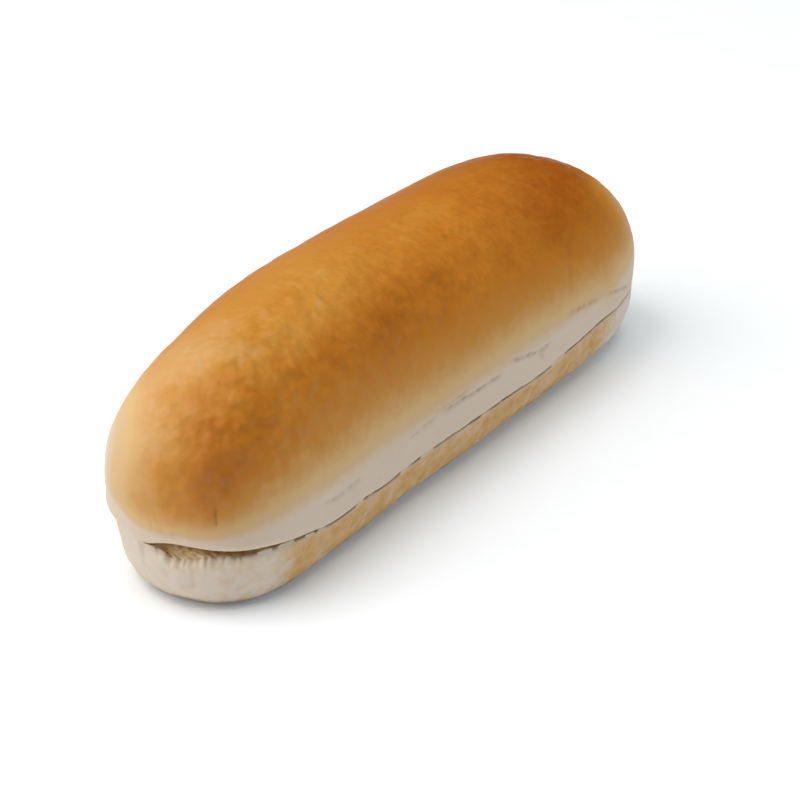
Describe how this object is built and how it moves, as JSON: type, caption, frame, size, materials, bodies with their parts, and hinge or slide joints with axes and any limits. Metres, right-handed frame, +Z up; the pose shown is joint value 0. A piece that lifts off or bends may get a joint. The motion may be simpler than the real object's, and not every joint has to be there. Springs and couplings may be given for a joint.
{
  "type": "hot dog bun",
  "caption": "Long soft bread roll with a domed browned crown and a flat base, sliced along one side and round both ends, with an uncut hinge at the back.",
  "frame": {"origin": "centre of the bounding box, at the bottom, on the surface that the bun lies on", "axes": "+X along the bun, from the narrower end to the wider end; +Z up; the sliced side faces -Y and the hinge +Y"},
  "size_m": [0.16, 0.056, 0.0453],
  "materials": {
    "crust": "soft browned bread crust, satin on top, pale and dull along the sides"
  },
  "bodies": {
    "root": {"bun": "crust"}
  },
  "joints": []
}
